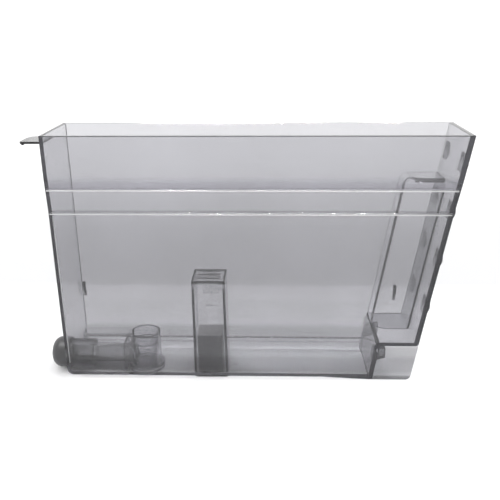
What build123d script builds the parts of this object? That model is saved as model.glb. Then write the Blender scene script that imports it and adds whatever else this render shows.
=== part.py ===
"""Removable water tank of a compact dehumidifier, with its continuous-drain line and its level float.

Millimetres, +Z up. The origin lies on the standing plane, below the middle of the tank's overall box.
+X runs to the right and +Y to the back, seen from the front window.
"""
import os
from math import atan, degrees

from build123d import *

# Tank envelope
tank_width = 360.0  # outside, across the rim, without the finger tab
tank_depth = 69.0
rim_z = 230.6
side_lean = 0.153  # the right wall moves this far to the right for each millimetre of height
floor_lift = 2.2  # underside of the floor above the standing plane
corner_radius = 6.5

# Wall thicknesses
front_wall = 2.4
back_wall_thickness = 2.4
left_wall_thickness = 3.0
floor_wall = 2.6
side_wall = 4.4  # right wall and step wall, measured along X
shelf_wall = 3.6
recess_wall = 2.2

# Jog across the front window
crease_top_z = 184.0
crease_bottom_z = 163.0
cove_height = 12.0
cove_depth = 0.7
jog_depth = 2.2

# Step at the lower right and the heel below it
notch_width = 34.9182  # step wall to the right wall's line, at every height
shelf_z = 38.4  # top of the raised floor
shelf_corner_radius = 2.8
heel_length = 44.0
skirt_radius = 5.0

# Ledge along the back of the floor
ledge_height = 13.2  # above the floor's upper face
ledge_depth = 18.0
ledge_wall = 2.4
ledge_radius = 3.0
pad_length = 46.0
pad_height = 1.8

# Recess in the back right corner
recess_width = 38.7934  # its left side to the right wall's outer face, on the raised floor
recess_depth = 37.0  # its front side to the back of the tank
recess_top_z = 185.2
recess_corner_radius = 15.0
recess_top_radius = 8.0

# Guide ramps on the outside of the right wall, in two columns
ramp_heights = (206.2, 164.2, 120.2, 74.7)
ramp_length = 16.5
ramp_width = 12.0
ramp_rise = 1.8
ramp_inset = 3.0  # from the front and back faces of the tank to the nearer side of a column

# Finger tab beside the left end of the rim
tab_reach = 17.6
tab_width = 27.0
tab_thickness = 2.0
tab_drop = 5.2  # rim down to the tab's upper face
tab_corner_radius = 9.0

# Drain line
port_y = 23.0  # axis, from the front of the tank
port_rise = 11.0  # axis, above the floor's upper face
port_bore = 15.0
spigot_wall = 2.5
spigot_length = 11.0
collar_wall = 6.0
collar_length = 20.0
pipe_wall = 1.7
well_x = 73.4  # axis, from the left wall's outer face
well_diameter = 28.6
well_wall = 2.0
well_height = 33.9
well_step_depth = 9.5
well_step_width = 1.8
well_notch_width = 7.0
well_notch_depth = 9.0
well_flange_width = 2.7
well_flange_height = 3.0
well_floor = 1.6
baffle_thickness = 2.4
baffle_width = 25.0
baffle_rise = 6.0  # its top above the pipe
fitting_gap = 0.3  # between the baffle and the well's flange

# Drain cap
cap_wall = 4.55
cap_reach = 17.2
cap_edge_radius = 8.5
cap_fit = 0.25  # radial, spigot in cap
cap_end_gap = 0.4  # spigot's end to the cap's inner end
seal_thickness = 2.0
seal_width = 2.2
seal_gap = 0.1  # seal to the cap's rim
seal_bore_fit = 0.3  # radial, spigot in seal

# Float guide, its cap and the float
guide_left_x = 121.6  # from the left wall's outer face
guide_width = 30.4
guide_taper = 2.0  # how much wider it is at the floor
guide_depth = 30.0
guide_wall = 2.0
guide_height = 91.2
guide_window_width = 10.4
guide_window_height = 57.2
guide_slot_width = 2.0
guide_slot_height = 6.0
guide_cap_height = 2.9
guide_cap_side = 4.4  # width of the left and right members
guide_cap_edge = 2.2  # width of the front and back members
guide_bar_width = 1.8
guide_bar_count = 2
guide_clip_width = 3.6
guide_clip_length = 6.0
guide_clip_thickness = 1.6
guide_tongue_width = 15.0
guide_tongue_length = 20.0
guide_fit = 0.3
float_side_gap = 1.6
float_front_gap = 0.8
float_back_gap = 2.4
float_height = 38.0
float_radius = 1.5
float_lift = 0.4  # above the floor at rest
magnet_diameter = 10.0
magnet_height = 4.0
magnet_fit = 0.05
lid_diameter = 14.0
lid_height = 1.6

# Small locating features
wedge_width = 2.6
wedge_depth = 3.4
wedge_height = 16.0
wedge_flat = 6.0
wedge_z = 72.0
wedge_left_inset = 1.2  # from the left wall's inner face
wedge_right_inset = 9.67  # from the recess's left side
wedge_right_z = 85.0
block_width = 7.6
block_depth = 8.0
block_height = 12.0
block_drop = 6.6  # below the raised floor's underside
block_chamfer = 3.0
block_front_inset = 6.0
block_back_inset = 2.0
stud_diameter = 4.6
stud_height = 0.8
stud_gap = 6.0  # from the guide's foot to the stud's middle
stud_y = 22.0

# Places worked out from the sizes above
left_x = (tab_reach - tank_width) / 2
right_x = left_x + tank_width
front_y = -tank_depth / 2
back_y = tank_depth / 2
back_inner_y = back_y - back_wall_thickness
floor_z = floor_lift + floor_wall
left_inner_x = left_x + left_wall_thickness
inner_radius = corner_radius - left_wall_thickness
lean_angle = degrees(atan(side_lean))
ledge_front_y = back_y - ledge_depth
ledge_z = floor_z + ledge_height
ledge_under_z = ledge_z - ledge_wall
corner_z = floor_lift + 1.25 * corner_radius  # where the left wall meets the rounded corner
shelf_under_z = shelf_z - shelf_wall
axis_y = front_y + port_y
port_z = floor_z + port_rise
spigot_diameter = port_bore + 2 * spigot_wall
collar_diameter = port_bore + 2 * collar_wall
pipe_diameter = port_bore + 2 * pipe_wall
cap_diameter = spigot_diameter + 2 * (cap_fit + cap_wall)
seal_diameter = spigot_diameter + 2 * (seal_bore_fit + seal_width)
well_rim_z = floor_z + well_height
well_flange_diameter = well_diameter + 2 * well_flange_width
well_lower_bore = well_diameter - 2 * (well_wall + well_step_width)
baffle_z = port_z + pipe_diameter / 2 + baffle_rise
guide_x = left_x + guide_left_x
guide_base_width = guide_width + guide_taper
guide_top_z = floor_z + guide_height
guide_window_z = floor_z + guide_window_height
recess_front_y = back_y - recess_depth
well_centre_x = left_x + well_x
front_lower_y = front_y + jog_depth
front_inner_y = front_lower_y + front_wall
guide_back_y = front_inner_y + guide_depth
far = tank_width + tank_depth + rim_z  # longer than any cut has to be


def right_outer(z):
    """X of the right wall's outer face at height z."""
    return right_x - side_lean * (rim_z - z)


def step_outer(z):
    """X of the step wall's face on the notch side at height z."""
    return right_outer(z) - notch_width


def recess_left(z):
    """X of the recess's left side at height z."""
    return right_outer(z) - recess_width


def step_inner(z):
    """X of the step wall's face on the tank side at height z."""
    return step_outer(z) - side_wall


def finish(part, label):
    """Label a finished piece and write it as parts/<label>.step."""
    part.label = label
    export_step(part, f"parts/{label}.step")


os.makedirs("parts", exist_ok=True)


# ---------------------------------------------------------------- shared cutting bodies

# Everything in front of the window's inner face, used to trim the walls to the jog.
with BuildPart() as front_side:
    with BuildSketch(Plane.YZ):
        with BuildLine():
            inner_upper_y = front_y + front_wall
            Polyline(
                (front_y - tank_depth, rim_z + tank_depth),
                (inner_upper_y, rim_z + tank_depth),
                (inner_upper_y, crease_top_z + cove_height),
            )
            ThreePointArc(
                (inner_upper_y, crease_top_z + cove_height),
                (inner_upper_y + cove_depth / 4, crease_top_z + cove_height / 2),
                (inner_upper_y + cove_depth, crease_top_z),
            )
            Polyline(
                (inner_upper_y + cove_depth, crease_top_z),
                (front_inner_y, crease_bottom_z),
                (front_inner_y, -tank_depth),
                (front_y - tank_depth, -tank_depth),
                (front_y - tank_depth, rim_z + tank_depth),
            )
        make_face()
    extrude(amount=far, both=True)

# The space inside the tank, between the left wall, the floor and the step wall.
with BuildPart() as hollow:
    with BuildSketch(Plane.XZ):
        with BuildLine():
            FilletPolyline(
                (left_inner_x, rim_z),
                (left_inner_x, floor_z),
                (step_inner(floor_z), floor_z),
                (step_inner(rim_z), rim_z),
                radius=inner_radius,
            )
            Line((step_inner(rim_z), rim_z), (left_inner_x, rim_z))
        make_face()
    extrude(amount=far, both=True)

# The hole that the drain spigot passes through, in the left wall and the corner below it.
with BuildPart() as spigot_hole:
    with BuildSketch(Plane.YZ.offset(left_x)):
        with Locations((axis_y, port_z)):
            Circle(spigot_diameter / 2)
    extrude(amount=left_wall_thickness)


# ---------------------------------------------------------------- tank walls

with BuildPart() as front_window:
    with BuildSketch(Plane.YZ):
        with BuildLine():
            Line((front_y, rim_z), (front_y, crease_top_z + cove_height))
            ThreePointArc(
                (front_y, crease_top_z + cove_height),
                (front_y + cove_depth / 4, crease_top_z + cove_height / 2),
                (front_y + cove_depth, crease_top_z),
            )
            Polyline(
                (front_y + cove_depth, crease_top_z),
                (front_lower_y, crease_bottom_z),
                (front_lower_y, 0),
                (back_y, 0),
                (back_y, rim_z),
                (front_y, rim_z),
            )
        make_face()
    extrude(amount=far, both=True)
    add(front_side.part, mode=Mode.INTERSECT)
    with BuildSketch(Plane.XZ):
        with BuildLine():
            heel_start_x = step_inner(0) - heel_length
            FilletPolyline(
                (left_x, rim_z),
                (left_x, floor_lift),
                (heel_start_x, floor_lift),
                (step_inner(0), 0),
                (right_outer(0), 0),
                (right_x, rim_z),
                radius=[corner_radius, heel_length / 4, heel_length / 4, skirt_radius],
            )
            Line((right_x, rim_z), (left_x, rim_z))
        make_face()
    extrude(amount=far, both=True, mode=Mode.INTERSECT)
finish(front_window.part, "front_window")


def wall(*outline, rounded=()):
    """A straight wall: an outline in the X-Z plane, carried from the window to the back wall.

    rounded lists the corners of the outline to round, each with its radius.
    """
    with BuildPart() as piece:
        with BuildSketch(Plane.XZ.offset(-front_y)):
            with BuildLine():
                Polyline(*outline, close=True)
            make_face()
            for corner, radius in rounded:
                fillet(vertices().sort_by_distance(corner)[0], radius)
        extrude(amount=front_y - back_inner_y)
        add(front_side.part, mode=Mode.SUBTRACT)
    return piece.part


with BuildPart() as left_wall:
    left_outline = [
        (left_x, rim_z),
        (left_x, corner_z),
        (left_inner_x, corner_z),
        (left_inner_x, rim_z),
    ]
    add(wall(*left_outline))
    add(spigot_hole.part, mode=Mode.SUBTRACT)
finish(left_wall.part, "left_wall")

# The floor turns up into the left wall and thickens into a heel at its right end.
with BuildPart() as floor_pan:
    outer_corner = (left_x, floor_lift)
    inner_corner = (left_inner_x, floor_z)
    floor_outline = [
        (left_x, corner_z),
        outer_corner,
        (step_inner(0) - heel_length, floor_lift),
        (step_inner(0), 0),
        (step_inner(floor_z), floor_z),
        inner_corner,
        (left_inner_x, corner_z),
    ]
    add(wall(*floor_outline, rounded=[(outer_corner, corner_radius), (inner_corner, inner_radius)]))
    add(spigot_hole.part, mode=Mode.SUBTRACT)
    with BuildSketch(Plane.XY):
        with Locations((left_inner_x, ledge_front_y)):
            Rectangle(tank_width, ledge_depth, align=(Align.MIN, Align.MIN))
    extrude(amount=corner_z, mode=Mode.SUBTRACT)
    with BuildSketch(Plane.XY.offset(floor_z)):
        with Locations((guide_x + guide_base_width + stud_gap, front_y + stud_y)):
            Circle(stud_diameter / 2)
    extrude(amount=stud_height)
finish(floor_pan.part, "floor_pan")

with BuildPart() as step_wall:
    step_outline = [
        (step_inner(0), 0),
        (step_outer(0), 0),
        (step_outer(shelf_under_z), shelf_under_z),
        (step_inner(shelf_under_z), shelf_under_z),
    ]
    add(wall(*step_outline))
finish(step_wall.part, "step_wall")

with BuildPart() as raised_floor:
    low_corner = (right_outer(shelf_under_z), shelf_under_z)
    shelf_outline = [
        (step_inner(shelf_under_z), shelf_under_z),
        low_corner,
        (right_outer(shelf_z), shelf_z),
        (step_inner(shelf_z), shelf_z),
    ]
    add(wall(*shelf_outline, rounded=[(low_corner, shelf_corner_radius)]))
finish(raised_floor.part, "raised_floor")

with BuildPart() as right_wall:
    right_outline = [
        (right_outer(shelf_z) - side_wall, shelf_z),
        (right_outer(shelf_z), shelf_z),
        (right_x, rim_z),
        (right_x - side_wall, rim_z),
    ]
    add(wall(*right_outline))
finish(right_wall.part, "right_wall")

# The ledge is a rabbet moulded into the floor's back edge, with a low pad on its left end.
with BuildPart() as rear_ledge:
    with BuildSketch(Plane.YZ):
        with BuildLine():
            FilletPolyline(
                (ledge_front_y, floor_lift),
                (ledge_front_y, ledge_z),
                (back_inner_y, ledge_z),
                (back_inner_y, ledge_under_z),
                (ledge_front_y + ledge_wall, ledge_under_z),
                (ledge_front_y + ledge_wall, floor_lift),
                radius=[0, ledge_radius, 0, 0, ledge_radius - ledge_wall, 0],
                close=True,
            )
        make_face()
    extrude(amount=far, both=True)
    with BuildSketch(Plane.XZ):
        with BuildLine():
            Polyline(
                (left_inner_x, 0),
                (step_inner(0), 0),
                (step_inner(shelf_z), shelf_z),
                (left_inner_x, shelf_z),
                close=True,
            )
        make_face()
    extrude(amount=far, both=True, mode=Mode.INTERSECT)
    with BuildSketch(Plane.XY.offset(ledge_z)):
        with Locations((left_inner_x, back_inner_y)):
            Rectangle(pad_length, ledge_depth - ledge_wall - ledge_radius, align=(Align.MIN, Align.MAX))
    extrude(amount=pad_height)
finish(rear_ledge.part, "rear_ledge")


def recess_form(inset):
    """The recess as a solid, its left, front and top sides moved inwards by inset."""
    lean = Vector(side_lean, 0, 1)
    with BuildPart() as form:
        with BuildSketch(Plane.XY.offset(shelf_z)):
            with Locations((recess_left(shelf_z) + inset, recess_front_y + inset)):
                Rectangle(
                    recess_width - side_wall - inset,
                    back_inner_y - recess_front_y - inset,
                    align=(Align.MIN, Align.MIN),
                )
        extrude(amount=(recess_top_z - inset - shelf_z) * lean.length, dir=lean)
        upright = edges().filter_by(lambda e: abs((e @ 1 - e @ 0).Z) > recess_corner_radius)
        fillet(upright.group_by(Axis.Y)[0].sort_by(Axis.X)[0], recess_corner_radius - inset)
        top_edges = faces().sort_by(Axis.Z)[-1].edges()
        square = (top_edges.sort_by(Axis.Y)[-1], top_edges.sort_by(Axis.X)[-1])  # at the mouth and at the right wall
        fillet([e for e in top_edges if not any(e.is_same(other) for other in square)], recess_top_radius - inset)
    return form


recess_outside = recess_form(0)
recess_inside = recess_form(recess_wall)

with BuildPart() as recess_shell:
    add(recess_outside.part)
    add(recess_inside.part, mode=Mode.SUBTRACT)
finish(recess_shell.part, "recess_shell")

with BuildPart() as back_wall:
    with BuildSketch(Plane.XZ.offset(-back_inner_y)):
        with BuildLine():
            Polyline(
                (left_x, rim_z),
                (left_x, ledge_under_z),
                (step_outer(ledge_under_z), ledge_under_z),
                (step_outer(shelf_under_z), shelf_under_z),
                (right_outer(shelf_under_z), shelf_under_z),
                (right_x, rim_z),
                close=True,
            )
        make_face()
    extrude(amount=-back_wall_thickness)
    mouth = recess_inside.faces().sort_by(Axis.Y)[-1]
    extrude(mouth, amount=back_wall_thickness, dir=(0, 1, 0), mode=Mode.SUBTRACT)
finish(back_wall.part, "back_wall")


# ---------------------------------------------------------------- small moulded features

# Ramps that guide the tank into its bay: a slow rise and a quicker fall, in two columns.
with BuildPart() as guide_ramps:
    for height in ramp_heights:
        foot_x = right_outer(height)
        reach = ramp_length / 2
        column_y = (front_y + front_wall + ramp_inset, back_y - ramp_inset - ramp_width)
        for start_y in column_y:
            with BuildSketch(Plane.XZ.offset(-start_y)):
                with BuildLine():
                    high = (right_outer(height + reach), height + reach)
                    low = (right_outer(height - reach), height - reach)
                    crest = (foot_x + ramp_rise, height - reach / 4)
                    ThreePointArc(high, (foot_x + side_lean * reach / 2 + ramp_rise * 0.6, height + reach / 2), crest)
                    ThreePointArc(crest, (foot_x - side_lean * reach * 0.6 + ramp_rise * 0.8, height - reach * 0.6), low)
                    Line(low, high)
                make_face()
            extrude(amount=-ramp_width)
finish(guide_ramps.part, "guide_ramps")

with BuildPart() as finger_tab:
    tab_z = rim_z - tab_drop
    with BuildSketch(Plane.XY.offset(tab_z - tab_thickness)):
        with Locations((left_x, front_y + jog_depth)):
            Rectangle(tab_reach, tab_width, align=(Align.MAX, Align.MIN))
        fillet(vertices().sort_by_distance((left_x - tab_reach, front_lower_y + tab_width))[0], tab_corner_radius)
        fillet(vertices().sort_by_distance((left_x - tab_reach, front_lower_y))[0], tab_thickness)
    extrude(amount=tab_thickness)
    # bead under the far edge, for the fingers
    with BuildSketch(Plane.XZ.offset(-front_y - jog_depth - tab_thickness)):
        with Locations((left_x - tab_reach + tab_thickness, tab_z - tab_thickness)):
            Circle(tab_thickness * 0.7)
    extrude(amount=-(tab_width - tab_corner_radius - tab_thickness))
finish(finger_tab.part, "finger_tab")


def wedge(x, y, z):
    """A triangular locating wedge that stands forward from y, with a flat upper part and a taper below."""
    with BuildPart() as piece:
        with BuildSketch(Plane.YZ.offset(x)):
            with BuildLine():
                Polyline(
                    (y, z),
                    (y - wedge_depth, z),
                    (y - wedge_depth, z - wedge_flat),
                    (y, z - wedge_height),
                    close=True,
                )
            make_face()
        extrude(amount=wedge_width)
    return piece.part


with BuildPart() as locating_wedges:
    add(wedge(left_inner_x + wedge_left_inset, back_inner_y, wedge_z))
    add(wedge(recess_left(wedge_right_z) + wedge_right_inset, recess_front_y, wedge_right_z))
finish(locating_wedges.part, "locating_wedges")

# Two stop blocks on the step wall, inside the notch, with a sloped lower corner.
with BuildPart() as notch_blocks:
    block_top = shelf_under_z - block_drop
    block_bottom = block_top - block_height
    for block_y in (front_inner_y + block_front_inset, back_inner_y - block_back_inset - block_depth):
        with BuildSketch(Plane.XZ.offset(-block_y)):
            with BuildLine():
                Polyline(
                    (step_outer(block_top), block_top),
                    (step_outer(block_top) + block_width, block_top),
                    (step_outer(block_top) + block_width, block_bottom + block_chamfer),
                    (step_outer(block_bottom), block_bottom),
                    close=True,
                )
            make_face()
        extrude(amount=-block_depth)
finish(notch_blocks.part, "notch_blocks")

with BuildPart() as foot_pads:
    with BuildSketch(Plane.XY):
        with Locations((guide_x, front_inner_y)):
            RectangleRounded(guide_base_width, guide_depth, corner_radius / 2, align=(Align.MIN, Align.MIN))
        with Locations((well_centre_x, axis_y)):
            Circle(well_flange_diameter / 2)
    extrude(amount=floor_lift)
finish(foot_pads.part, "foot_pads")


# ---------------------------------------------------------------- continuous-drain line

with BuildPart() as drain_port:
    with BuildSketch(Plane.YZ.offset(left_inner_x)):
        with Locations((axis_y, port_z)):
            Circle(collar_diameter / 2)
    extrude(amount=collar_length)
    add(hollow.part, mode=Mode.INTERSECT)
    with BuildSketch(Plane.YZ.offset(left_inner_x)):
        with Locations((axis_y, port_z)):
            Circle(spigot_diameter / 2)
    extrude(amount=-left_wall_thickness - spigot_length)
    with BuildSketch(Plane.YZ.offset(left_x - spigot_length)):
        with Locations((axis_y, port_z)):
            Circle(port_bore / 2)
    extrude(amount=spigot_length + left_wall_thickness + collar_length, mode=Mode.SUBTRACT)
finish(drain_port.part, "drain_port")

with BuildPart() as drain_pipe:
    with BuildSketch(Plane.YZ.offset(left_inner_x + collar_length)):
        with Locations((axis_y, port_z)):
            Circle(pipe_diameter / 2)
            Circle(port_bore / 2, mode=Mode.SUBTRACT)
    extrude(amount=well_centre_x - left_inner_x - collar_length)
    with BuildSketch(Plane.XY):
        with Locations((well_centre_x, axis_y)):
            Circle(well_diameter / 2)
    extrude(amount=well_rim_z, mode=Mode.SUBTRACT)
    with BuildSketch(Plane.XY):
        with Locations((well_centre_x, axis_y)):
            Circle(well_flange_diameter / 2)
    extrude(amount=floor_z + well_flange_height, mode=Mode.SUBTRACT)
finish(drain_pipe.part, "drain_pipe")

# The well catches the drip and leads it to the pipe; its notched rim overflows into the tank.
with BuildPart() as drain_well:
    with BuildSketch(Plane.XY.offset(floor_z)):
        with Locations((well_centre_x, axis_y)):
            Circle(well_flange_diameter / 2)
    extrude(amount=well_flange_height)
    with BuildSketch(Plane.XY.offset(floor_z)):
        with Locations((well_centre_x, axis_y)):
            Circle(well_diameter / 2)
    extrude(amount=well_rim_z - floor_z)
    with BuildSketch(Plane.XY.offset(floor_z + well_floor)):
        with Locations((well_centre_x, axis_y)):
            Circle(well_lower_bore / 2)
    extrude(amount=well_rim_z, mode=Mode.SUBTRACT)
    with BuildSketch(Plane.XY.offset(well_rim_z - well_step_depth)):
        with Locations((well_centre_x, axis_y)):
            Circle(well_diameter / 2 - well_wall)
    extrude(amount=well_step_depth, mode=Mode.SUBTRACT)
    with BuildSketch(Plane.YZ.offset(well_centre_x)):
        with Locations((axis_y, port_z)):
            Circle(port_bore / 2)
        with Locations((axis_y, well_rim_z)):
            RectangleRounded(well_notch_width, 2 * well_notch_depth, well_notch_width / 3)
    extrude(amount=-well_diameter, mode=Mode.SUBTRACT)
finish(drain_well.part, "drain_well")

with BuildPart() as drain_baffle:
    baffle_right_x = well_centre_x - well_flange_diameter / 2 - fitting_gap
    with BuildSketch(Plane.YZ.offset(baffle_right_x - baffle_thickness)):
        with Locations((axis_y, floor_z)):
            Rectangle(baffle_width, baffle_z - floor_z, align=(Align.CENTER, Align.MIN))
        fillet(vertices().group_by(Axis.Y)[-1], baffle_thickness)
        with Locations((axis_y, port_z)):
            Circle(pipe_diameter / 2, mode=Mode.SUBTRACT)
    extrude(amount=baffle_thickness)
finish(drain_baffle.part, "drain_baffle")

with BuildPart() as port_seal:
    with BuildSketch(Plane.YZ.offset(left_x)):
        with Locations((axis_y, port_z)):
            Circle(seal_diameter / 2)
            Circle(spigot_diameter / 2 + seal_bore_fit, mode=Mode.SUBTRACT)
    extrude(amount=-seal_thickness)
    fillet(edges().filter_by(GeomType.CIRCLE).group_by(Axis.X)[0], seal_thickness / 5)
finish(port_seal.part, "port_seal")

with BuildPart() as drain_cap:
    rim_x = left_x - seal_thickness - seal_gap
    tip_x = left_x - cap_reach
    with BuildSketch(Plane.YZ.offset(rim_x)):
        with Locations((axis_y, port_z)):
            Circle(cap_diameter / 2)
    extrude(amount=tip_x - rim_x)
    fillet(edges().filter_by(GeomType.CIRCLE).group_by(Axis.X)[0], cap_edge_radius)
    with BuildSketch(Plane.YZ.offset(rim_x)):
        with Locations((axis_y, port_z)):
            Circle(spigot_diameter / 2 + cap_fit)
    extrude(amount=-(spigot_length - seal_thickness + cap_end_gap), mode=Mode.SUBTRACT)
finish(drain_cap.part, "drain_cap")


# ---------------------------------------------------------------- float guide and float



def guide_outline(inset):
    """The guide's tapered front view between the floor and its cap, moved inwards by inset."""
    Polyline(
        (guide_x + inset, floor_z),
        (guide_x + guide_base_width - inset, floor_z),
        (guide_x + guide_width - inset, guide_top_z),
        (guide_x + inset, guide_top_z),
        close=True,
    )


with BuildPart() as float_guide:
    with BuildSketch(Plane.XZ.offset(-front_inner_y)):
        with BuildLine():
            guide_outline(0)
        make_face()
    extrude(amount=-guide_depth)
    with BuildSketch(Plane.XZ.offset(-front_inner_y - guide_wall)):
        with BuildLine():
            guide_outline(guide_wall)
        make_face()
    extrude(amount=2 * guide_wall - guide_depth, mode=Mode.SUBTRACT)
    guide_mid_x = guide_x + guide_width / 2
    with BuildSketch(Plane.XZ.offset(-guide_back_y)):
        with Locations((guide_mid_x, floor_z)):
            Rectangle(guide_window_width, guide_window_z - floor_z, align=(Align.CENTER, Align.MIN))
    extrude(amount=guide_wall, mode=Mode.SUBTRACT)
    with BuildSketch(Plane.XZ.offset(-front_inner_y)):
        with Locations((guide_mid_x, floor_z)):
            Rectangle(guide_slot_width, guide_slot_height, align=(Align.CENTER, Align.MIN))
    extrude(amount=-guide_wall, mode=Mode.SUBTRACT)
finish(float_guide.part, "float_guide")

with BuildPart() as guide_cap:
    opening_width = guide_width - 2 * guide_cap_side
    opening_depth = guide_depth - 2 * guide_cap_edge
    with BuildSketch(Plane.XY.offset(guide_top_z)):
        with Locations((guide_mid_x, front_inner_y)):
            Rectangle(guide_width, guide_depth, align=(Align.CENTER, Align.MIN))
        with Locations((guide_mid_x, front_inner_y + guide_cap_edge)):
            Rectangle(opening_width, opening_depth, align=(Align.CENTER, Align.MIN), mode=Mode.SUBTRACT)
        for number in range(guide_bar_count):
            bar_y = front_inner_y + guide_cap_edge + opening_depth * (number + 1) / (guide_bar_count + 1)
            with Locations((guide_mid_x, bar_y)):
                Rectangle(opening_width, guide_bar_width)
        tongue_root = guide_wall + guide_fit + guide_clip_thickness
        with Locations((guide_mid_x, guide_back_y)):
            Rectangle(guide_tongue_width, tongue_root, align=(Align.CENTER, Align.MAX))
    extrude(amount=guide_cap_height)
    # clips in the front corners and a tongue down the back wall
    clip_front_y = front_inner_y + guide_wall + guide_fit
    inner_left_x = guide_x + guide_wall + guide_fit
    inner_right_x = guide_x + guide_width - guide_wall - guide_fit
    with BuildSketch(Plane.XY.offset(guide_top_z)):
        with Locations((inner_left_x, clip_front_y)):
            Rectangle(guide_clip_width, guide_clip_thickness, align=(Align.MIN, Align.MIN))
        with Locations((inner_right_x, clip_front_y)):
            Rectangle(guide_clip_width, guide_clip_thickness, align=(Align.MAX, Align.MIN))
    extrude(amount=-guide_clip_length)
    with BuildSketch(Plane.XY.offset(guide_top_z)):
        with Locations((guide_mid_x, guide_back_y - guide_wall - guide_fit)):
            Rectangle(guide_tongue_width, guide_clip_thickness, align=(Align.CENTER, Align.MAX))
    extrude(amount=-guide_tongue_length)
finish(guide_cap.part, "guide_cap")

float_left_x = guide_x + guide_wall + float_side_gap
float_right_x = guide_x + guide_width - guide_wall - float_side_gap
float_front_y = front_inner_y + guide_wall + float_front_gap
float_back_y = guide_back_y - guide_wall - float_back_gap
float_mid = ((float_left_x + float_right_x) / 2, (float_front_y + float_back_y) / 2)
float_top_z = floor_z + float_lift + float_height

with BuildPart() as level_float:
    with BuildSketch(Plane.XY.offset(floor_z + float_lift)):
        with Locations(float_mid):
            RectangleRounded(float_right_x - float_left_x, float_back_y - float_front_y, float_radius)
    extrude(amount=float_height)
    with BuildSketch(Plane.XY.offset(float_top_z)):
        with Locations(float_mid):
            Circle(lid_diameter / 2)
    extrude(amount=-lid_height, mode=Mode.SUBTRACT)
    with BuildSketch(Plane.XY.offset(float_top_z)):
        with Locations(float_mid):
            Circle(magnet_diameter / 2 + magnet_fit)
    extrude(amount=-lid_height - magnet_height, mode=Mode.SUBTRACT)
finish(level_float.part, "level_float")

with BuildPart() as float_magnet:
    with BuildSketch(Plane.XY.offset(float_top_z - lid_height)):
        with Locations(float_mid):
            Circle(magnet_diameter / 2)
    extrude(amount=-magnet_height)
finish(float_magnet.part, "float_magnet")

with BuildPart() as float_lid:
    with BuildSketch(Plane.XY.offset(float_top_z)):
        with Locations(float_mid):
            Circle(lid_diameter / 2 - magnet_fit)
    extrude(amount=-lid_height)
finish(float_lid.part, "float_lid")
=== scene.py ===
import math

import bmesh
import bpy
from mathutils import Matrix, Vector


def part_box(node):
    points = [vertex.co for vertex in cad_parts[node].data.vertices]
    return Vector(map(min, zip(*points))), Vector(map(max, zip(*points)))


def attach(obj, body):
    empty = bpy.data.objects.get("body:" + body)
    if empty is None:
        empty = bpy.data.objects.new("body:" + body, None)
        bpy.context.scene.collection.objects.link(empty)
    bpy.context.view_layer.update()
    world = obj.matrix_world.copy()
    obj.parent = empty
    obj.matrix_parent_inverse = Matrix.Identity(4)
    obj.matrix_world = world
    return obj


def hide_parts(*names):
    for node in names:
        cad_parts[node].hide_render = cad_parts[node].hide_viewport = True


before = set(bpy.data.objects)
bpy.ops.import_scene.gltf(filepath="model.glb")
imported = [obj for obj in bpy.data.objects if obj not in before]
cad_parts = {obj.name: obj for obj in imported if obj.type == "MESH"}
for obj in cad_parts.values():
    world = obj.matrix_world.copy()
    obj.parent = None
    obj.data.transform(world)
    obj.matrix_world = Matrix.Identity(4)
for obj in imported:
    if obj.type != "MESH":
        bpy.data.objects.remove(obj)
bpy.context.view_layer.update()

MM = 0.001

# ---------------------------------------------------------------- mesh helpers

weld_distance = 0.002 * MM
flat_angle = math.radians(0.2)
rounded_from = math.radians(32.0)
seam_width = 0.01 * MM


def link(name, mesh):
    """A new object of this mesh in the scene."""
    made = bpy.data.objects.new(name, mesh)
    bpy.context.scene.collection.objects.link(made)
    return made


def mesh_of(bm, name):
    """A new mesh from a bmesh, which is freed."""
    mesh = bpy.data.meshes.new(name)
    bm.to_mesh(mesh)
    bm.free()
    return mesh


def unite(piece, mesh):
    """Unites a piece with one more closed mesh."""
    other = link("other", mesh)
    join = piece.modifiers.new("join", "BOOLEAN")
    join.operation = "UNION"
    join.solver = "MANIFOLD"
    join.object = other
    bpy.context.view_layer.update()
    depsgraph = bpy.context.evaluated_depsgraph_get()
    united = bpy.data.meshes.new_from_object(piece.evaluated_get(depsgraph))
    piece.modifiers.clear()
    piece.data = united
    bpy.data.objects.remove(other)


def rounded_copy(node, width=0.0, free=None):
    """A clean copy of a CAD node's mesh; its sharp edges whose middle is free are rounded."""
    bm = bmesh.new()
    bm.from_mesh(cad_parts[node].data)
    bmesh.ops.remove_doubles(bm, verts=bm.verts, dist=weld_distance)
    bmesh.ops.dissolve_limit(
        bm, angle_limit=flat_angle, verts=bm.verts, edges=bm.edges, use_dissolve_boundaries=False
    )
    if width:
        sharp = [e for e in bm.edges if e.is_manifold and e.calc_face_angle() > rounded_from]
        if free:
            sharp = [e for e in sharp if free((e.verts[0].co + e.verts[1].co) / 2)]
        bmesh.ops.bevel(
            bm, geom=sharp, offset=width, segments=2, profile=0.5, affect="EDGES", clamp_overlap=True
        )
    return mesh_of(bm, node + "_copy")


def spot(vert):
    """A corner's place, the same for corners that a hairline seam divides."""
    return tuple(round(c / seam_width) for c in vert.co)


def smooth(piece, angle=36.0):
    """Smooth normals that keep flat faces flat and edges over this angle sharp, across seams too."""
    bm = bmesh.new()
    bm.from_mesh(piece.data)
    bm.normal_update()
    limit = math.cos(math.radians(angle))
    around = {}
    for face in bm.faces:
        weight = face.calc_area()
        for vert in face.verts:
            around.setdefault(spot(vert), []).append((face.normal.copy(), weight))
    normals = []
    for face in bm.faces:
        for vert in face.verts:
            total = Vector((0.0, 0.0, 0.0))
            for normal, weight in around[spot(vert)]:
                if normal.dot(face.normal) > limit:
                    total += normal * weight
            normals.append(total.normalized() if total.length else face.normal.copy())
    bm.free()
    piece.data.shade_smooth()
    piece.data.normals_split_custom_set(normals)


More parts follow.
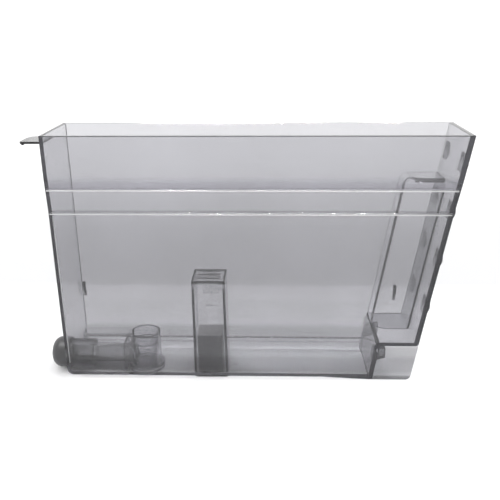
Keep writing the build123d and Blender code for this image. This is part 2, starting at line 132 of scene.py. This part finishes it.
def place(piece, body, material, nodes):
    """Gives a piece its material and its body, and hides the nodes it stands for."""
    piece.data.materials.clear()
    piece.data.materials.append(material)
    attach(piece, body)
    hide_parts(*nodes)


def fitting(name, node, body, material, width, gap=0.0):
    """One CAD node as a piece with rounded edges, drawn in by a hair's gap all round."""
    piece = link(name, rounded_copy(node, width))
    if gap:
        bm = bmesh.new()
        bm.from_mesh(piece.data)
        bm.normal_update()
        moves = [v.normal * -gap for v in bm.verts]
        for vert, move in zip(bm.verts, moves):
            vert.co += move
        piece.data = mesh_of(bm, name)
    smooth(piece)
    place(piece, body, material, [node])


# ---------------------------------------------------------------- shader helpers

painted_shade_height = 250.0      # in mm; the painted shade that changes with height is spread over this
neutral_smoke = (0.5, 0.495, 0.515)


def grey(value):
    """A grey with the same red, green and blue."""
    return (value, value, value)


def principled(material):
    """The material's Principled shader."""
    return next(n for n in material.node_tree.nodes if n.type == "BSDF_PRINCIPLED")


def new_material(name):
    """A node material with its node tree, its Principled shader and a Tex Coord node."""
    material = bpy.data.materials.new(name)
    material.use_nodes = True
    tree = material.node_tree
    coords = tree.nodes.new("ShaderNodeTexCoord")
    return material, tree, principled(material), coords


def noise(tree, coords, scale, detail, stretch=(1.0, 1.0, 1.0)):
    """A noise texture in object space, in cycles a metre."""
    mapping = tree.nodes.new("ShaderNodeMapping")
    mapping.inputs["Scale"].default_value = stretch
    tree.links.new(coords.outputs["Object"], mapping.inputs["Vector"])
    texture = tree.nodes.new("ShaderNodeTexNoise")
    texture.inputs["Scale"].default_value = scale
    texture.inputs["Detail"].default_value = detail
    tree.links.new(mapping.outputs["Vector"], texture.inputs["Vector"])
    return texture.outputs["Fac"]


def along(tree, coords, axis, start, end):
    """A value that goes from 0 to 1 between two places on an axis of object space."""
    split = tree.nodes.new("ShaderNodeSeparateXYZ")
    tree.links.new(coords.outputs["Object"], split.inputs["Vector"])
    reach = tree.nodes.new("ShaderNodeMapRange")
    reach.inputs["From Min"].default_value = start
    reach.inputs["From Max"].default_value = end
    tree.links.new(split.outputs[axis], reach.inputs["Value"])
    return reach.outputs["Result"]


def ramp(tree, source, stops):
    """A colour ramp over a 0 to 1 value; stops are (position, colour)."""
    node = tree.nodes.new("ShaderNodeValToRGB")
    while len(node.color_ramp.elements) < len(stops):
        node.color_ramp.elements.new(0.5)
    for element, (position, colour) in zip(node.color_ramp.elements, stops):
        element.position = position
        element.color = (*colour, 1.0)
    tree.links.new(source, node.inputs["Fac"])
    return node.outputs["Color"]


def by_height(tree, coords, levels):
    """A colour that changes with height; levels are (height in mm, colour)."""
    height = along(tree, coords, "Z", 0.0, painted_shade_height * MM)
    return ramp(tree, height, [(z / painted_shade_height, colour) for z, colour in levels])


def mixed(tree, amount, first, second, kind="MIX"):
    """Two colours mixed; the amount and the colours are fixed values or outputs of other nodes."""
    blend = tree.nodes.new("ShaderNodeMix")
    blend.data_type = "RGBA"
    blend.blend_type = kind
    for label, value in (("Factor", amount), ("A", first), ("B", second)):
        if isinstance(value, bpy.types.NodeSocket):
            tree.links.new(value, blend.inputs[label])
        else:
            blend.inputs[label].default_value = value
    return blend.outputs["Result"]


def roughened(tree, shader, source, least, most):
    """Gives the shader a roughness between two values."""
    rough = tree.nodes.new("ShaderNodeMapRange")
    rough.inputs["To Min"].default_value = least
    rough.inputs["To Max"].default_value = most
    tree.links.new(source, rough.inputs["Value"])
    tree.links.new(rough.outputs["Result"], shader.inputs["Roughness"])


def bumped(tree, shader, source, strength, distance):
    """Gives the shader a bump from a height value."""
    bump = tree.nodes.new("ShaderNodeBump")
    bump.inputs["Strength"].default_value = strength
    bump.inputs["Distance"].default_value = distance
    tree.links.new(source, bump.inputs["Height"])
    tree.links.new(bump.outputs["Normal"], shader.inputs["Normal"])


# ---------------------------------------------------------------- the tank's painted light and shade


def height_painted_shade(tree, coords, surface):
    """Paints shade on the moulding that changes with height: lightest at the rim, deepest from 8 to 20 mm
    up.
    """
    levels = [
        (8.0, 0.73),
        (10.0, 0.72),
        (20.0, 0.74),
        (26.0, 0.94),
        (55.0, 0.96),
        (78.0, 0.885),
        (115.0, 0.885),
        (145.0, 0.925),
        (163.0, 0.945),
        (185.0, 0.95),
        (200.0, 1.0),
    ]
    # painted shade: a grey by height that multiplies the surface colour
    tone = by_height(tree, coords, [(z, grey(value)) for z, value in levels])
    return mixed(tree, 1.0, surface, tone, "MULTIPLY")


def window_painted_shade(tree, coords, surface):
    """Paints shade on the front window alone: a dark foot, a dark line over one crease and a shaded band
    over the other.
    """
    clear = grey(1.0)
    foot = (0.60, 0.60, 0.61)
    line = (0.66, 0.66, 0.67)
    band = (0.78, 0.77, 0.81)
    # painted shade by height: the foot, the line over the lower crease and the band over the upper one
    levels = [
        (3.2, foot),
        (3.8, clear),
        (163.9, clear),
        (164.2, line),
        (165.0, line),
        (165.4, clear),
        (184.0, clear),
        (184.3, band),
        (189.0, band),
        (196.0, clear),
    ]
    behind_window = -29.6 * MM
    in_window = -29.8 * MM
    shade = by_height(tree, coords, levels)
    front = along(tree, coords, "Y", behind_window, in_window)
    return mixed(tree, front, surface, shade, "MULTIPLY")


def skirt_painted_shadow(tree, coords, surface):
    """Paints shadow on what is right of the step and under the raised floor: the skirt and the notch."""
    # painted shadow: a deeper grey where the floor under the notch lies in shade
    deeper = (*grey(0.74), 1.0)
    skirt_left = 117.0 * MM
    skirt_top = 34.0 * MM
    fade = 1.0 * MM
    past_step = along(tree, coords, "X", skirt_left, skirt_left + fade)
    below_floor = along(tree, coords, "Z", skirt_top + fade, skirt_top)
    both = tree.nodes.new("ShaderNodeMath")
    both.operation = "MULTIPLY"
    tree.links.new(past_step, both.inputs[0])
    tree.links.new(below_floor, both.inputs[1])
    return mixed(tree, both.outputs["Value"], surface, deeper, "MULTIPLY")


def tank_painted_light(tree, coords, surface):
    """All the moulding's painted light and shade: an underside painted paler against its shadow, then shade
    by height, on the window and on the skirt.
    """
    # painted light: the floor's underside is paler to lift the shadow under the tank
    underside_painted_light = (0.87, 0.87, 0.88, 1.0)
    underside_top = 5.5 * MM
    full_tint_z = 9.0 * MM
    above_floor = along(tree, coords, "Z", underside_top, full_tint_z)
    surface = mixed(tree, above_floor, underside_painted_light, surface)
    surface = height_painted_shade(tree, coords, surface)
    surface = window_painted_shade(tree, coords, surface)
    return skirt_painted_shadow(tree, coords, surface)


# ---------------------------------------------------------------- materials


def smoke_plastic(
    name, light, dark, density, rough_least=0.0, rough_most=0.035, tone=neutral_smoke, painted_light=None
):
    """Smoke-grey clear plastic: tinted at its surface, darker along long paths inside."""
    material, tree, shader, coords = new_material(name)
    mottle = noise(tree, coords, 9.0, 2.0)
    surface = ramp(tree, mottle, [(0.3, dark), (0.7, light)])
    # painted light and shade, where given, go over the mottled surface colour
    if painted_light:
        surface = painted_light(tree, coords, surface)
    tree.links.new(surface, shader.inputs["Base Color"])
    scuffs = noise(tree, coords, 60.0, 4.0, (1.0, 1.0, 0.25))
    roughened(tree, shader, scuffs, rough_least, rough_most)
    waves = noise(tree, coords, 22.0, 1.0)
    bumped(tree, shader, waves, 0.05, 0.4 * MM)
    shader.inputs["Transmission Weight"].default_value = 1.0
    shader.inputs["IOR"].default_value = 1.5
    output = next(n for n in tree.nodes if n.type == "OUTPUT_MATERIAL")
    absorb = tree.nodes.new("ShaderNodeVolumeAbsorption")
    absorb.inputs["Color"].default_value = (*tone, 1.0)
    absorb.inputs["Density"].default_value = density
    tree.links.new(absorb.outputs["Volume"], output.inputs["Volume"])
    return material


def solid_plastic(name, light, dark, roughness):
    """Opaque moulded plastic with a fine grain."""
    material, tree, shader, coords = new_material(name)
    mottle = noise(tree, coords, 70.0, 3.0)
    surface = ramp(tree, mottle, [(0.3, dark), (0.7, light)])
    tree.links.new(surface, shader.inputs["Base Color"])
    scuffs = noise(tree, coords, 260.0, 4.0)
    roughened(tree, shader, scuffs, roughness - 0.06, roughness + 0.06)
    grain = noise(tree, coords, 900.0, 2.0)
    bumped(tree, shader, grain, 0.12, 0.1 * MM)
    return material


smoke_tank = smoke_plastic(
    "smoke_tank",
    (0.738, 0.738, 0.758),
    (0.696, 0.696, 0.711),
    density=75.0,
    tone=(0.5, 0.495, 0.52),
    painted_light=tank_painted_light,
)
smoke_guide = smoke_plastic("smoke_guide", grey(1.0), grey(0.98), density=40.0, rough_most=0.05)
smoke_well = smoke_plastic(
    "smoke_well", (0.95, 0.95, 0.96), (0.90, 0.90, 0.91), density=80.0, rough_most=0.16
)
smoke_drain = smoke_plastic("smoke_drain", grey(0.89), grey(0.83), density=120.0, rough_most=0.14)
smoke_pipe = smoke_plastic("smoke_pipe", grey(0.84), grey(0.76), density=230.0, rough_most=0.14)
# smoke_dense also makes the dark rods of painted shade along edges
smoke_dense = smoke_plastic("smoke_dense", grey(0.50), grey(0.44), density=900.0, rough_most=0.10)
smoke_lid = smoke_plastic("smoke_lid", grey(0.97), grey(0.93), density=170.0, rough_most=0.08)
smoke_ramp = smoke_plastic("smoke_ramp", grey(0.74), grey(0.68), density=300.0, rough_most=0.08)
edge_gloss = smoke_plastic("edge_gloss", grey(1.0), grey(0.96), 5.0, rough_least=0.07, rough_most=0.10)
# painted highlight: partly white diffuse plastic that makes the crease lines and the front left corner show
# as white lines
crease_painted_highlight = smoke_plastic("crease_painted_highlight", grey(1.0), grey(0.96), 5.0, rough_least=0.07, rough_most=0.10)
principled(crease_painted_highlight).inputs["Transmission Weight"].default_value = 0.6
cap_plastic = solid_plastic("cap_plastic", (0.06, 0.06, 0.063), (0.045, 0.045, 0.047), 0.34)
seal_rubber = solid_plastic("seal_rubber", (0.025, 0.025, 0.026), (0.018, 0.018, 0.018), 0.6)
float_plastic = solid_plastic("float_plastic", (0.27, 0.27, 0.275), (0.22, 0.22, 0.225), 0.45)
magnet_metal = solid_plastic("magnet_metal", (0.35, 0.35, 0.34), (0.30, 0.30, 0.29), 0.35)
principled(magnet_metal).inputs["Metallic"].default_value = 1.0

# ---------------------------------------------------------------- the tank moulding

window_low, window_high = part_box("front_window")
_, back_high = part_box("back_wall")
crease_top_z = 184.0 * MM
crease_bottom_z = 163.0 * MM
cove_depth = 0.7 * MM        # how far the upper crease lies behind the front of the window
jog_depth = 2.2 * MM         # and the lower crease
side_lean = 0.153            # how far the right wall leans inwards for each unit downwards
touch = 0.05 * MM
wall_rounding = 0.5 * MM


def right_outer(z):
    """X of the right wall's outer face at height z."""
    return window_high.x - side_lean * (window_high.z - z)


def on_rim(point):
    """Whether a point lies on the plane of the rim."""
    return point.z > window_high.z - touch


def on_front(point):
    """Whether a point lies on the rim or on the outer face of the front window."""
    return on_rim(point) or point.y < window_low.y + jog_depth + touch


def on_back(point):
    """Whether a point lies on the rim or on the outer face of the back wall."""
    return on_rim(point) or point.y > back_high.y - touch


walls = {
    "front_window": (wall_rounding, on_front),
    "left_wall": (wall_rounding, on_rim),
    "floor_pan": (0.0, None),
    "step_wall": (0.0, None),
    "raised_floor": (0.0, None),
    "right_wall": (wall_rounding, on_rim),
    "back_wall": (wall_rounding, on_back),
    "rear_ledge": (0.0, None),
    "recess_shell": (0.0, None),
    "notch_blocks": (0.0, None),
    "foot_pads": (0.0, None),
}
tank = link("tank_moulding", rounded_copy("front_window", *walls["front_window"]))
for wall_node in list(walls)[1:]:
    unite(tank, rounded_copy(wall_node, *walls[wall_node]))
smooth(tank)
place(tank, "tank", smoke_tank, list(walls))

# ---------------------------------------------------------------- slim rods: painted shade, painted highlights and glossy beads

rod_sides = 16
rod_flat_angle = 60.0


def rod(name, start, end, radius, material):
    """A slim round rod of the tank between two points: dark ones paint shade, white ones paint highlights,
    clear ones are glossy beads.
    """
    way = Vector(end) - Vector(start)
    turned = way.to_track_quat("Z", "Y").to_matrix().to_4x4()
    bm = bmesh.new()
    bmesh.ops.create_cone(
        bm,
        cap_ends=True,
        cap_tris=False,
        segments=rod_sides,
        radius1=radius,
        radius2=radius,
        depth=way.length,
        matrix=Matrix.Translation((Vector(start) + Vector(end)) / 2) @ turned,
    )
    rib = link(name, mesh_of(bm, name))
    smooth(rib, rod_flat_angle)
    rib.data.materials.append(material)
    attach(rib, "tank")


def crease_line(name, face_y, z, radius, proud, material):
    """A bead along a crease of the front window, sunk into its face but for its proud part."""
    y = face_y + radius - proud
    start = (window_low.x + 1.0 * MM, y, z)
    end = (right_outer(z) - 1.6 * MM, y, z)
    rod(name, start, end, radius, material)


upper_y = window_low.y + cove_depth
lower_y = window_low.y + jog_depth
# The two crease lines are painted highlights; the two clear glossy beads just above them catch the lamps.
crease_line("painted_highlight_upper", upper_y, crease_top_z - 0.4 * MM, 0.75 * MM, 0.35 * MM, crease_painted_highlight)
crease_line("painted_highlight_lower", lower_y, crease_bottom_z - 1.0 * MM, 0.6 * MM, 0.25 * MM, crease_painted_highlight)
crease_line("crease_bead_upper", upper_y, crease_top_z + 1.5 * MM, 0.6 * MM, 0.3 * MM, edge_gloss)
crease_line("crease_bead_lower", lower_y, crease_bottom_z + 0.4 * MM, 0.6 * MM, 0.3 * MM, edge_gloss)

# Painted shade along the recess's folds: dark rods, three upright ones that lean with the right wall and
# three round its top.
recess_low, recess_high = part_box("recess_shell")
recess_base = recess_low.z + 1.0 * MM
recess_head = recess_high.z - 9.0 * MM
recess_right = right_outer(recess_high.z)
fold_left = recess_right - 31.0 * MM
fold_right = recess_right - 5.5 * MM
fold_y = recess_low.y + 4.5 * MM
fold_z = recess_high.z - 2.05 * MM
roof_right = recess_right - 4.9 * MM
roof_front = recess_low.y + 6.0 * MM
roof_back = recess_high.y - 0.8 * MM
roof_z = recess_high.z - 0.7 * MM


def recess_edge(name, from_right, y, radius):
    """A dark rod of painted shade that leans with the right wall, this far inwards from its outer face."""
    start = (right_outer(recess_base) - from_right, y, recess_base)
    end = (right_outer(recess_head) - from_right, y, recess_head)
    rod(name, start, end, radius, smoke_dense)


recess_edge("recess_shade_left", 37.5 * MM, recess_low.y + 15.0 * MM, 1.3 * MM)
recess_edge("recess_shade_right", 4.9 * MM, recess_low.y - 0.2 * MM, 1.1 * MM)
rod("recess_shade_top", (fold_left, fold_y, fold_z), (fold_right, fold_y, fold_z), 1.0 * MM, smoke_dense)
recess_edge("recess_shade_back", 38.2 * MM, roof_back, 0.45 * MM)
rod(
    "recess_shade_top_back",
    (fold_left, roof_back, roof_z),
    (roof_right, roof_back, roof_z),
    0.45 * MM,
    smoke_dense,
)
rod(
    "recess_shade_top_right",
    (roof_right, roof_front, roof_z),
    (roof_right, roof_back, roof_z),
    0.6 * MM,
    smoke_dense,
)

# Painted shade as dark rods on the tank's back left corner and the front edge of its rim, and a painted
# highlight as a white rod on its front left corner.
left_low, left_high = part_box("left_wall")
corner_y = left_high.y - 0.4 * MM
rim_y = window_low.y + 0.9 * MM
rim_z = window_high.z - 0.7 * MM
bead_x = left_high.x + 0.2 * MM
bead_y = window_high.y - 0.2 * MM
rod(
    "corner_shade",
    (left_high.x, corner_y, left_low.z + 12.0 * MM),
    (left_high.x, corner_y, left_high.z - 1.0 * MM),
    0.5 * MM,
    smoke_dense,
)
rod(
    "rim_shade",
    (window_low.x + 2.0 * MM, rim_y, rim_z),
    (window_high.x - 2.0 * MM, rim_y, rim_z),
    0.35 * MM,
    smoke_dense,
)
rod(
    "corner_highlight",
    (bead_x, bead_y, left_low.z + 4.0 * MM),
    (bead_x, bead_y, crease_bottom_z - 3.0 * MM),
    0.6 * MM,
    crease_painted_highlight,
)

# Painted shade as dark rods on the guide's two front edges, each with its X at the foot and at the top; the
# right one leans.
guide_low, guide_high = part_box("float_guide")
post_radius = 1.1 * MM
post_y = guide_low.y + 1.3 * MM
post_foot = guide_low.z + 0.5 * MM
post_top = guide_high.z - 5.0 * MM
posts = {
    "left": (guide_low.x + 1.3 * MM, guide_low.x + 1.3 * MM),
    "right": (guide_high.x - 1.4 * MM, guide_high.x - 3.2 * MM),
}
for post_side, (foot_x, top_x) in posts.items():
    rod(
        f"guide_edge_shade_{post_side}",
        (foot_x, post_y, post_foot),
        (top_x, post_y, post_top),
        post_radius,
        smoke_dense,
    )

# Dark rods on the guide's cap: four along its outline and two bars across it, each from one (x, y) to
# another.
cap_low, cap_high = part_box("guide_cap")
frame_z = cap_high.z - 1.3 * MM
frame_front = cap_low.y + 1.1 * MM
frame_back = cap_high.y - 1.0 * MM
across_start = cap_low.x + 1.1 * MM
across_end = cap_high.x - 1.1 * MM
left_x = cap_low.x + 1.0 * MM
right_x = cap_high.x - 1.0 * MM
cap_dark_rods = {
    "front": ((across_start, frame_front), (across_end, frame_front), 1.05 * MM),
    "back": ((across_start, frame_back), (across_end, frame_back), 0.7 * MM),
    "left": ((left_x, frame_front), (left_x, frame_back), 0.8 * MM),
    "right": ((right_x, frame_front), (right_x, frame_back), 0.8 * MM),
}
cap_border = 2.2 * MM
bar_inset = 5.0 * MM
bar_pitch = (cap_high.y - cap_low.y - 2 * cap_border) / 3
for bar in (1, 2):
    bar_y = cap_low.y + cap_border + bar * bar_pitch
    cap_dark_rods[f"bar_{bar}"] = ((cap_low.x + bar_inset, bar_y), (cap_high.x - bar_inset, bar_y), 0.6 * MM)
for rod_name, (rod_start, rod_end, rod_radius) in cap_dark_rods.items():
    rod(
        f"cap_dark_rod_{rod_name}",
        (*rod_start, frame_z),
        (*rod_end, frame_z),
        rod_radius,
        smoke_dense,
    )

# Glossy beads on the rear ledge's front face, where a step and a foot catch the lamps.
ledge_low, ledge_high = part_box("rear_ledge")
ledge_y = ledge_low.y + 0.3 * MM
for number, bead_z in enumerate((13.3 * MM, 4.2 * MM)):
    rod(
        f"ledge_bead_{number}",
        (ledge_low.x + 2.0 * MM, ledge_y, bead_z),
        (ledge_high.x - 4.0 * MM, ledge_y, bead_z),
        0.7 * MM,
        edge_gloss,
    )

# ---------------------------------------------------------------- fittings and moving pieces

# Clear fittings are drawn in by this hair's gap, so that no two clear faces lie in one plane.
hair = 0.04 * MM
fitting("finger_tab_moulding", "finger_tab", "tank", smoke_dense, 0.4 * MM, hair)
fitting("port_moulding", "drain_port", "tank", smoke_drain, 0.4 * MM, hair)
fitting("pipe_moulding", "drain_pipe", "tank", smoke_pipe, 0.3 * MM, hair)
fitting("well_moulding", "drain_well", "tank", smoke_well, 0.4 * MM, hair)
fitting("baffle_moulding", "drain_baffle", "tank", smoke_drain, 0.4 * MM, hair)
fitting("guide_moulding", "float_guide", "tank", smoke_guide, 0.4 * MM, hair)
fitting("guide_cap_moulding", "guide_cap", "tank", smoke_lid, 0.25 * MM, hair)
fitting("ramp_mouldings", "guide_ramps", "tank", smoke_ramp, 0.4 * MM, hair)
fitting("wedge_mouldings", "locating_wedges", "tank", smoke_dense, 0.3 * MM, hair)
fitting("drain_cap_moulding", "drain_cap", "drain_cap", cap_plastic, 0.5 * MM)
fitting("seal_ring", "port_seal", "seal", seal_rubber, 0.0)
fitting("float_block", "level_float", "float", float_plastic, 0.5 * MM)
fitting("float_plug", "float_lid", "float", float_plastic, 0.2 * MM)
for object_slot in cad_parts["float_magnet"].material_slots:
    object_slot.material = magnet_metal

# ---------------------------------------------------------------- floor and world


def floor_material():
    """Plain pale floor, darker in a stretch behind the tank; the stops are metres along Y."""
    material, tree, shader, coords = new_material("floor_paint")
    pale = (0.97, 0.97, 0.975)
    darker = (0.785, 0.785, 0.795)
    behind = along(tree, coords, "Y", 0.0, 1.0)
    paint = ramp(tree, behind, [(0.185, pale), (0.195, darker), (0.42, darker), (0.72, pale)])
    tree.links.new(paint, shader.inputs["Base Color"])
    shader.inputs["Roughness"].default_value = 0.9
    shader.inputs["Specular IOR Level"].default_value = 0.0
    return material


floor_bm = bmesh.new()
bmesh.ops.create_grid(floor_bm, x_segments=2, y_segments=2, size=12.0)
floor = link("floor", mesh_of(floor_bm, "floor"))
floor.location = (0.0, 0.0, -0.05 * MM)
floor.data.materials.append(floor_material())

world = bpy.data.worlds.new("studio")
world.use_nodes = True
background = next(n for n in world.node_tree.nodes if n.type == "BACKGROUND")
background.inputs["Color"].default_value = (1.0, 1.0, 1.0, 1.0)
background.inputs["Strength"].default_value = 1.3
bpy.context.scene.world = world

# ---------------------------------------------------------------- lamps

# A row of slim lamps overhead that shows only as highlights on edges and ledges.
lamp_count = 28
lamp_pitch = 18.6 * MM
lamp_width = 0.007
lamp_length = 0.30
lamp_power = 2.4
row_middle = 0.02
row_y = -0.12
row_height = 0.9


def area_light(name, position, target, size, power):
    """A soft rectangular lamp that faces a target."""
    data = bpy.data.lights.new(name, "AREA")
    data.shape = "RECTANGLE"
    data.size, data.size_y = size
    data.energy = power
    lamp = bpy.data.objects.new(name, data)
    bpy.context.scene.collection.objects.link(lamp)
    lamp.location = position
    aim = Vector(target) - Vector(position)
    lamp.rotation_euler = aim.to_track_quat("-Z", "Y").to_euler()
    return lamp


for number in range(lamp_count):
    lamp_x = (number - (lamp_count - 1) / 2) * lamp_pitch + row_middle
    lamp = area_light(
        f"strip_{number:02d}",
        (lamp_x, row_y, row_height),
        (lamp_x, row_y, 0.0),
        (lamp_width, lamp_length),
        lamp_power,
    )
    lamp.visible_diffuse = False
    lamp.visible_transmission = False
    lamp.visible_volume_scatter = False

# ---------------------------------------------------------------- camera

camera_place = (0.0193, -0.5576, 0.3251)
pitch = 0.3557
yaw = -0.0294
roll = -0.0061
forward = Vector((math.sin(yaw) * math.cos(pitch), math.cos(yaw) * math.cos(pitch), -math.sin(pitch)))
level = Vector((math.cos(yaw), -math.sin(yaw), 0.0))
above = level.cross(forward)
side = math.cos(roll) * level + math.sin(roll) * above
top = math.cos(roll) * above - math.sin(roll) * level
camera_data = bpy.data.cameras.new("camera")
camera_data.lens = 45.94
camera_data.sensor_width = 36.0
camera = bpy.data.objects.new("camera", camera_data)
bpy.context.scene.collection.objects.link(camera)
camera_turn = Matrix((side, top, -forward)).transposed().to_4x4()
camera.matrix_world = Matrix.Translation(camera_place) @ camera_turn
bpy.context.scene.camera = camera

bpy.context.scene.view_settings.view_transform = "Standard"
bpy.context.scene.cycles.max_bounces = 24
bpy.context.scene.cycles.transmission_bounces = 24
bpy.context.scene.cycles.glossy_bounces = 12
